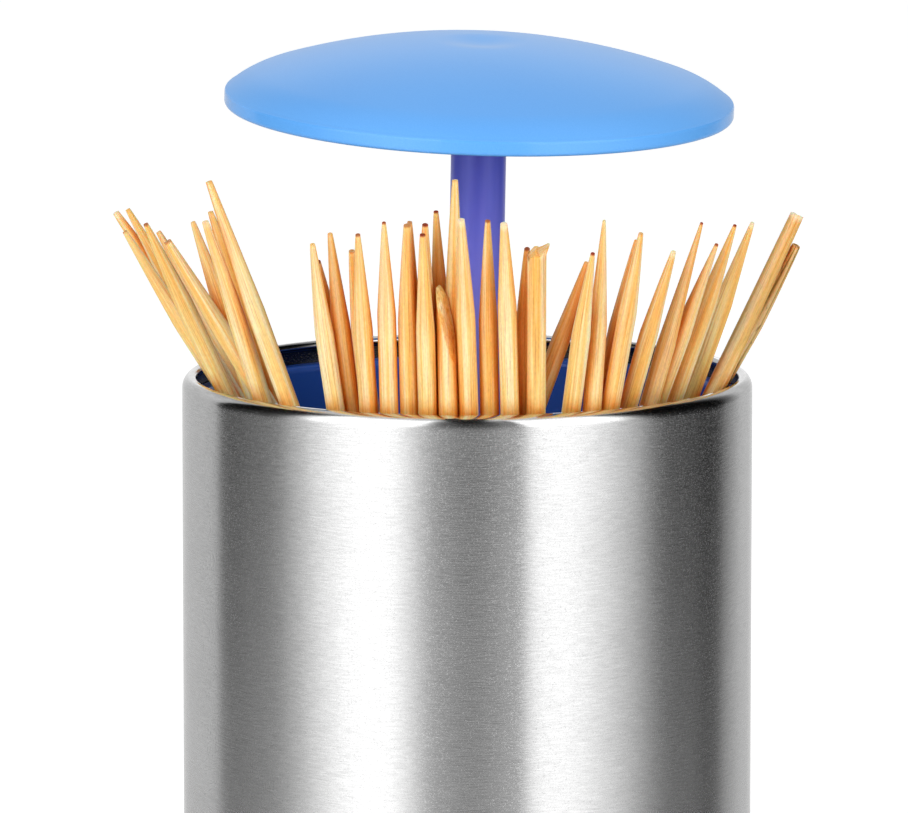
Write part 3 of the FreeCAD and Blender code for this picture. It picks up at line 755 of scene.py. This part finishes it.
splinterLook = {          # across the top, from -1 on the left of it to 1 on the right
    "spikeFrom": 0.55,
    "notchAt": 0.2,
    "notchReach": 0.4,
    "notchDepth": 0.35,   # as shares of the splinter's height
    "tornFrom": -0.1,
    "tornTo": -0.9,
    "tornDepth": 1.1,
    "lean": 0.5,          # how far the spike stands outwards
}


def makePickTree():
    tree = bpy.data.node_groups.new("bambooPick", "GeometryNodeTree")
    look, cut = pickLook, splinterLook
    floats = {
        "Length": 65 * mm, "Radius": look["radius"], "Tip Radius": look["tipRadius"],
        "Top Radius": look["tipRadius"], "Taper": look["taper"], "Top Taper": look["taper"],
        "Flats": look["flats"], "Ragged": 0.0, "Splinter": 0.0, "Bend": 0.0, "Seed": 0.0,
        "Tone": 0.0, "Shade": 0.0, "Scorch": 0.0, "Cream": 0.0, "Bark": 0.0}
    wanted = [(name, "NodeSocketFloat", value) for name, value in floats.items()]
    wanted += [(name, "NodeSocketInt", look[name.lower()]) for name in ("Sides", "Rings")]
    for name, kind, value in wanted:
        socket = tree.interface.new_socket(name, in_out="INPUT", socket_type=kind)
        socket.default_value = value
    tree.interface.new_socket("Finish", in_out="INPUT", socket_type="NodeSocketMaterial")
    tree.interface.new_socket("Geometry", in_out="OUTPUT", socket_type="NodeSocketGeometry")
    given = tree.nodes.new("NodeGroupInput").outputs

    rod = addNode(tree, "GeometryNodeMeshCylinder", {
        "Vertices": given["Sides"], "Side Segments": given["Rings"],
        "Fill Segments": look["capRings"], "Radius": 1.0, "Depth": 2.0}).outputs["Mesh"]
    parts = splitPlace(tree, addNode(tree, "GeometryNodeInputPosition").outputs[0])
    share = calc(tree, "MULTIPLY_ADD", parts["Z"], 0.5, 0.5)      # 0 at the foot, 1 at the top
    height = calc(tree, "MULTIPLY", share, given["Length"])
    left = calc(tree, "SUBTRACT", given["Length"], height)
    isTop = addNode(
        tree, "FunctionNodeCompare", {0: share, 1: 0.9999}, operation="GREATER_THAN").outputs[0]

    # the turned profile: a taper at both ends
    def taper(distance, endRadius, length):
        along = calc(tree, "DIVIDE", distance, length, clamp=True)
        swell = calc(tree, "POWER", along, look["fullness"])
        gain = calc(tree, "SUBTRACT", given["Radius"], endRadius)
        return calc(tree, "MULTIPLY_ADD", swell, gain, endRadius)

    radius = calc(
        tree, "MINIMUM", taper(height, given["Tip Radius"], given["Taper"]),
        taper(left, given["Top Radius"], given["Top Taper"]))

    # flats and hollows left by splitting, constant along the grain for a while
    drift = calc(tree, "MULTIPLY", height, look["wander"])
    onRound = joinPlace(tree, parts["X"], parts["Y"], drift)

    def roundNoise(scale, detail):
        return addNode(tree, "ShaderNodeTexNoise", {
            "Vector": onRound, "W": given["Seed"], "Scale": scale, "Detail": detail},
            noise_dimensions="4D").outputs["Fac"]

    flat = roundNoise(look["flatScale"], 2.0)
    flat = mapRange(tree, flat, *look["flatRange"], 0.0, given["Flats"])
    radius = calc(tree, "MULTIPLY", radius, calc(tree, "SUBTRACT", 1.0, flat))

    # the top: fibres that are torn out, and on one a splinter with a notch beside it
    tear = calc(tree, "SUBTRACT", roundNoise(look["tearScale"], 3.0), look["tearMiddle"])
    tear = calc(tree, "MULTIPLY", tear, given["Ragged"])
    spike = mapRange(
        tree, parts["X"], cut["spikeFrom"], 1.0, 0.0, 1.0, interpolation_type="SMOOTHSTEP")
    fromNotch = calc(tree, "ABSOLUTE", calc(tree, "SUBTRACT", parts["X"], cut["notchAt"]))
    notch = mapRange(tree, fromNotch, 0.0, cut["notchReach"], -cut["notchDepth"], 0.0)
    torn = mapRange(tree, parts["X"], cut["tornFrom"], cut["tornTo"], 0.0, -cut["tornDepth"])
    spiked = calc(tree, "ADD", calc(tree, "ADD", spike, notch), torn)
    spiked = calc(tree, "MULTIPLY", spiked, given["Splinter"])
    rise = calc(tree, "MULTIPLY", calc(tree, "ADD", tear, spiked), isTop)
    outward = calc(tree, "MULTIPLY", given["Splinter"], cut["lean"])
    outward = calc(tree, "MULTIPLY", calc(tree, "MULTIPLY", spike, isTop), outward)
    # the point stands a little off the axis
    sideways = calc(
        tree, "SUBTRACT", 1.0, calc(tree, "DIVIDE", left, given["Top Taper"]), clamp=True)
    sideways = calc(tree, "POWER", sideways, look["bendCurve"])
    outward = calc(tree, "MULTIPLY_ADD", sideways, given["Bend"], outward)
    shaped = joinPlace(
        tree, calc(tree, "MULTIPLY_ADD", parts["X"], radius, outward),
        calc(tree, "MULTIPLY", parts["Y"], radius), calc(tree, "ADD", height, rise))

    # what the bamboo finish reads, stored before the shape changes
    apart = calc(tree, "MULTIPLY_ADD", given["Seed"], look["grainApart"], parts["X"])
    fibre = joinPlace(tree, apart, parts["Y"], calc(tree, "ADD", height, given["Seed"]))
    sides = addNode(tree, "FunctionNodeBooleanMath", {0: isTop}, operation="NOT").outputs[0]
    pick = addNode(
        tree, "GeometryNodeSetShadeSmooth", {"Geometry": rod, "Shade Smooth": sides}).outputs[0]
    carried = {"fibre": fibre, "tipDistance": left}
    for name in ("Tone", "Shade", "Scorch", "Cream", "Bark"):
        carried[name.lower()] = given[name]
    for name, value in carried.items():
        node = addNode(
            tree, "GeometryNodeStoreNamedAttribute", {"Geometry": pick, "Name": name},
            data_type="FLOAT_VECTOR" if name == "fibre" else "FLOAT", domain="POINT")
        tree.links.new(value, node.inputs["Value"])
        pick = node.outputs[0]
    for kind, inputs in (
            ("GeometryNodeSetPosition", {"Position": shaped}),
            ("GeometryNodeRealizeInstances", {}),
            ("GeometryNodeSetMaterial", {"Material": given["Finish"]})):
        pick = addNode(tree, kind, {"Geometry": pick, **inputs}).outputs[0]
    addNode(tree, "NodeGroupOutput", {"Geometry": pick})
    return tree


def growPick(tree, name, values):
    # Sets the inputs by their identifiers, takes the result as a plain mesh, drops the modifier.
    carrier = addObject(name + "_grown", bpy.data.meshes.new(name))
    modifier = carrier.modifiers.new("grow", "NODES")
    modifier.node_group = tree
    for item in tree.interface.items_tree:
        if item.in_out == "INPUT" and item.name in values:
            modifier[item.identifier] = values[item.name]
    carrier.update_tag()
    bpy.context.view_layer.update()
    ready = carrier.evaluated_get(bpy.context.evaluated_depsgraph_get())
    mesh = bpy.data.meshes.new_from_object(ready)
    carrier.modifiers.clear()
    bpy.data.objects.remove(carrier)
    mesh.name = name
    mesh.materials.clear()        # the cylinder brings an empty slot along
    mesh.materials.append(values["Finish"])
    for face in mesh.polygons:
        face.material_index = 0
    return mesh


def pickAxis(name):
    # Foot point and direction of a pick's solid, and how far it reaches along that.
    joint = next(item for item in frame["joints"] if item["child"] == name)
    foot = Vector(joint["pos_m"])
    points = [vertex.co - foot for vertex in frame["nodes"][name].data.vertices]
    far = max(point.length for point in points)
    upper = [point for point in points if point.length > far * 0.5]
    aim = sum(upper, Vector()).normalized()
    return foot, aim, max(point.dot(aim) for point in points)


slantLook = {
    "length": 9.2 * mm,
    "facing": -35.0,       # degrees, the way the cut looks, from the right towards the front
    "steps": 3,            # hacks that the knife left along the cut
    "stepDepth": 0.1 * mm,
    "shortening": 0.25,    # by which share each hack is shorter
    "stray": 0.25,         # radians, how far each may turn aside
    "startShare": 0.7,     # of the radius, where the cut starts
}


def slantCut(mesh, high, dice):
    # Whittles the top off in a few uneven strokes of a knife.
    look, radius = slantLook, pickLook["radius"]
    facing = Matrix.Rotation(math.radians(look["facing"]), 3, "Z")
    shape = bmesh.new()
    shape.from_mesh(mesh)
    for step in range(look["steps"]):
        run = look["length"] * (1 - look["shortening"] * step)
        stray = dice.uniform(-look["stray"], look["stray"]) * step
        aside = Matrix.Rotation(stray, 3, "Z") @ facing
        normal = aside @ Vector((run, 0, 2 * radius)).normalized()
        start = aside @ Vector((-look["startShare"] * radius, 0, 0)) + Vector((0, 0, high))
        start -= normal * look["stepDepth"] * step
        everything = shape.verts[:] + shape.edges[:] + shape.faces[:]
        cut = bmesh.ops.bisect_plane(
            shape, geom=everything, plane_co=start, plane_no=normal, clear_outer=True)
        edge = [item for item in cut["geom_cut"] if isinstance(item, bmesh.types.BMEdge)]
        filled = bmesh.ops.triangle_fill(shape, edges=edge, use_beauty=True, normal=normal)
        for item in filled["geom"]:
            if isinstance(item, bmesh.types.BMFace):
                item.smooth = False
    bmesh.ops.recalc_face_normals(shape, faces=shape.faces)
    shape.to_mesh(mesh)
    shape.free()


pickTree = makePickTree()
pickNames = sorted(name for name in frame["nodes"] if name.startswith("toothpick"))
pickFaces = 0
for number, name in enumerate(pickNames, 1):
    look, dice = pickLook, random.Random(number)
    foot, aim, reach = pickAxis(name)
    topRadius = topRadii.get(number, look["topRadius"] * dice.uniform(*look["topSpread"]))
    topTaper = topTapers.get(number, look["taper"] * dice.uniform(*look["taperSpread"]))
    bend = 0.0 if number in blunt else look["bend"] * dice.uniform(-1, 1)
    mesh = growPick(pickTree, "pick" + name[-2:], {
        "Length": reach, "Radius": look["radius"], "Tip Radius": look["tipRadius"],
        "Top Radius": topRadius, "Taper": look["taper"], "Top Taper": topTaper, "Bend": bend,
        "Sides": look["sides"], "Rings": look["rings"], "Flats": look["flats"],
        "Ragged": ragged.get(number, look["ragged"]), "Splinter": splintered.get(number, 0.0),
        "Seed": number * look["seedStep"], "Tone": dice.uniform(*look["tones"]),
        "Shade": shaded.get(number, dice.uniform(*look["shades"])),
        "Scorch": scorched.get(number, look["scorch"]), "Cream": creamy.get(number, 0.0),
        "Bark": barky.get(number, 0.0), "Finish": materials["bamboo"]})
    if number == whittled:
        slantCut(mesh, reach, dice)
    turn = Vector((0, 0, 1)).rotation_difference(aim).to_matrix().to_4x4()
    mesh.transform(Matrix.Translation(foot) @ turn)
    pickFaces += len(mesh.polygons)
    pick = addObject("pick_" + name[-2:], mesh)
    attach(pick, name)
    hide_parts(name)
print("picks grown:", len(pickNames), "with", pickFaces, "faces")


# The floor, the light tent, the lamps and the camera.

floorLook = {
    "radius": 6.0,
    "sides": 96,
    "colour": 0.82,
    "glow": 0.46,             # to the camera, so that it reads as white
}


def emptyMaterial(name):
    material = bpy.data.materials.new(name)
    material.use_nodes = True
    material.node_tree.nodes.clear()
    return material, material.node_tree


def seenDirectly(tree):
    # 1 where the camera sees it, also in a reflection or through clear plastic
    rays = addNode(tree, "ShaderNodeLightPath").outputs
    seen = calc(tree, "MAXIMUM", rays["Is Camera Ray"], rays["Is Transmission Ray"])
    return calc(tree, "MAXIMUM", seen, rays["Is Glossy Ray"])


def makeStage():
    look = floorLook
    mesh = bpy.data.meshes.new("floor")
    shape = bmesh.new()
    bmesh.ops.create_circle(
        shape, cap_ends=True, segments=look["sides"], radius=look["radius"])
    shape.to_mesh(mesh)
    shape.free()
    floor = addObject("floor", mesh)
    material, tree = emptyMaterial("floorPaper")
    grey = look["colour"]
    paper = addNode(tree, "ShaderNodeBsdfDiffuse", {"Color": (grey, grey, grey, 1)})
    glow = addNode(tree, "ShaderNodeEmission", {
        "Color": (1, 1, 1, 1),
        "Strength": calc(tree, "MULTIPLY", seenDirectly(tree), look["glow"])})
    both = addNode(tree, "ShaderNodeAddShader", {0: paper.outputs[0], 1: glow.outputs[0]})
    addNode(tree, "ShaderNodeOutputMaterial", {"Surface": both.outputs[0]})
    mesh.materials.append(material)
    floor.visible_glossy = False      # the steel sees the tent's cards down to the floor and below


tentLook = {
    "radius": 0.45,
    "sides": 180,
    "top": 3.0,
    "bottom": -3.0,
    "pivot": 0.6,             # the grey that stays as it is when the contrast rises
    "contrast": 4.0,
    "contrastRise": (0.06, 0.28),     # heights between which the contrast rises
    "dimming": (-0.4, 1.9),   # how much darker the dark cards are low down and high up
    "dimRise": (-0.05, 0.05),
    "brightest": 1.8,
    "backLimit": 0.95,        # the most that the low back cards glow
    "backRise": (0.18, 0.3),
    "backFade": 0.6,          # how much the back cards darken upwards
    "fadeRise": (0.26, 0.42),
    "upperGrey": 0.8,         # high up all cards are one soft grey
    "upperRise": (0.6, 0.9),
    "stripDark": 0.96,        # how dark the strip overhead is
    "stripSide": -0.01,       # its middle and edges, as slopes seen from the product
    "stripCore": 0.1,
    "stripEdge": 0.16,
    "stripLevel": 0.07,       # the height that they are seen from
    "stripLeast": 0.1,        # the least height above that
    "stripTilt": -0.9,        # the strip starts higher at the back
    "stripRise": (0.75, 1.05),
}
# Cards of the light tent by azimuth, degrees right of the front, and how bright they are.
tentCards = [
    (-180, 1.0), (-160, 0.66), (-118.5, 0.6), (-115, 0.27), (-98, 0.27), (-78, 0.45),
    (-66, 0.85), (-52, 1.45), (-38, 1.75), (-28, 1.5), (-17, 0.7), (-5, 0.43), (6, 0.40),
    (16, 0.53), (21.5, 0.58), (24.5, 1.3), (35, 1.6), (50, 1.25), (78, 0.38), (104, 0.14),
    (119, 0.12), (124, 0.34), (140, 0.6), (160, 0.66), (180, 1.0)]


def tentDrum():
    # A drum with a lid and no floor.
    look = tentLook
    top, bottom = look["top"], look["bottom"]
    shape = bmesh.new()
    bmesh.ops.create_cone(
        shape, cap_ends=True, segments=look["sides"], radius1=look["radius"],
        radius2=look["radius"], depth=top - bottom)
    bmesh.ops.translate(shape, verts=shape.verts[:], vec=(0, 0, (top + bottom) / 2))
    lowest = min(shape.faces, key=lambda face: face.calc_center_median().z)
    bmesh.ops.delete(shape, geom=[lowest], context="FACES_ONLY")
    mesh = bpy.data.meshes.new("lightTent")
    shape.to_mesh(mesh)
    shape.free()
    return mesh


def makeTent():
    # The cards stand round the product and only show in reflections.
    look, mesh = tentLook, tentDrum()
    material, tree = emptyMaterial("tentCards")
    place = splitPlace(tree, objectPlace(tree))
    level = place["Z"]

    def rising(value, reach, low, high):
        return mapRange(tree, value, *look[reach], low, high)

    azimuth = calc(tree, "ARCTAN2", place["X"], calc(tree, "MULTIPLY", place["Y"], -1.0))
    turn = calc(tree, "MULTIPLY_ADD", azimuth, 0.5 / math.pi, 0.5)
    most = 2.0                        # the ramp holds levels up to 1, the cards up to this
    stops = [(degrees / 360 + 0.5, bright / most) for degrees, bright in tentCards]
    tone = calc(tree, "MULTIPLY", ramp(tree, turn, stops, "CARDINAL"), most)
    # higher up the bright cards get brighter and the dark ones darker
    card = calc(tree, "DIVIDE", tone, look["pivot"])
    dimmed = calc(
        tree, "POWER", calc(tree, "MINIMUM", card, 1.0), rising(level, "dimRise", *look["dimming"]))
    strength = calc(tree, "POWER", card, rising(level, "contrastRise", 1.0, look["contrast"]))
    strength = calc(tree, "MULTIPLY", strength, look["pivot"])
    # the low cards at the back stay grey, so that the ends of the rim do
    behind = calc(tree, "DIVIDE", place["Y"], look["radius"], clamp=True)
    low = rising(level, "backRise", look["backLimit"] - look["brightest"], 0.0)
    limit = calc(tree, "MULTIPLY_ADD", behind, low, look["brightest"])
    strength = calc(tree, "MINIMUM", strength, limit)
    strength = calc(tree, "MULTIPLY", strength, dimmed)
    fade = calc(tree, "MULTIPLY", rising(level, "fadeRise", 0.0, look["backFade"]), behind)
    strength = calc(tree, "MULTIPLY", strength, calc(tree, "SUBTRACT", 1.0, fade))
    upper = rising(level, "upperRise", 0.0, 1.0)
    strength = calc(tree, "MULTIPLY", strength, calc(tree, "SUBTRACT", 1.0, upper))
    strength = calc(tree, "MULTIPLY_ADD", upper, look["upperGrey"], strength)
    # a dark strip overhead from front to back, which the tube's shoulder shows
    rise = calc(
        tree, "MAXIMUM", calc(tree, "SUBTRACT", level, look["stripLevel"]), look["stripLeast"])
    slope = calc(tree, "DIVIDE", place["X"], rise)
    aside = calc(tree, "ABSOLUTE", calc(tree, "SUBTRACT", slope, look["stripSide"]))
    strip = mapRange(tree, aside, look["stripCore"], look["stripEdge"], look["stripDark"], 0.0)
    overhead = calc(tree, "MULTIPLY_ADD", place["Y"], look["stripTilt"], level)
    strip = calc(tree, "MULTIPLY", strip, rising(overhead, "stripRise", 0.0, 1.0))
    strength = calc(tree, "MULTIPLY", strength, calc(tree, "SUBTRACT", 1.0, strip))
    glow = addNode(tree, "ShaderNodeEmission", {"Strength": strength})
    addNode(tree, "ShaderNodeOutputMaterial", {"Surface": glow.outputs[0]})
    mesh.materials.append(material)
    tent = addObject("lightTent", mesh)
    tent.visible_camera = False
    tent.visible_diffuse = False
    tent.visible_shadow = False
    tent.visible_transmission = False


skyLight = 0.62               # from all round


def makeWorld():
    world = bpy.data.worlds.new("studioWorld")
    world.use_nodes = True
    tree = world.node_tree
    tree.nodes.clear()
    strength = calc(tree, "MULTIPLY_ADD", seenDirectly(tree), 1.0 - skyLight, skyLight)
    sky = addNode(tree, "ShaderNodeBackground", {"Color": (1, 1, 1, 1), "Strength": strength})
    addNode(tree, "ShaderNodeOutputWorld", {"Surface": sky.outputs[0]})
    bpy.context.scene.world = world


lamps = {
    "keyLamp": {"place": (-0.45, -1.0, 0.5), "width": 0.6, "power": 7.0},
    "fillLamp": {"place": (0.75, -0.85, 0.35), "width": 0.6, "power": 4.0},
}
lampsAim = 0.08               # metres above the floor


def makeLamps():
    middle = Vector((0, 0, lampsAim))
    for name, lamp in lamps.items():
        light = bpy.data.lights.new(name, "AREA")
        light.shape = "SQUARE"
        light.size = lamp["width"]
        light.energy = lamp["power"]
        holder = addObject(name, light)
        holder.location = lamp["place"]
        holder.rotation_euler = (middle - holder.location).to_track_quat("-Z", "Y").to_euler()
        holder.visible_glossy = False


view = {
    "aim": (-1.25 * mm, 0.0, 72.7 * mm),
    "distance": 0.9,
    "elevation": 8.7,         # degrees
    "lens": 376.5,
    "sensor": 36,
    "farthest": 50,
}


def makeCamera():
    camera = bpy.data.cameras.new("camera")
    camera.lens = view["lens"]
    camera.sensor_width = view["sensor"]
    camera.clip_end = view["farthest"]
    holder = addObject("camera", camera)
    tilt = math.radians(view["elevation"])
    back = Vector((0, -math.cos(tilt), math.sin(tilt)))
    holder.location = Vector(view["aim"]) + back * view["distance"]
    holder.rotation_euler = (-back).to_track_quat("-Z", "Y").to_euler()
    bpy.context.scene.camera = holder


makeStage()
makeTent()
makeWorld()
makeLamps()
makeCamera()
bpy.context.scene.view_settings.view_transform = "Standard"
print("studio ready")

bpy.context.view_layer.update()
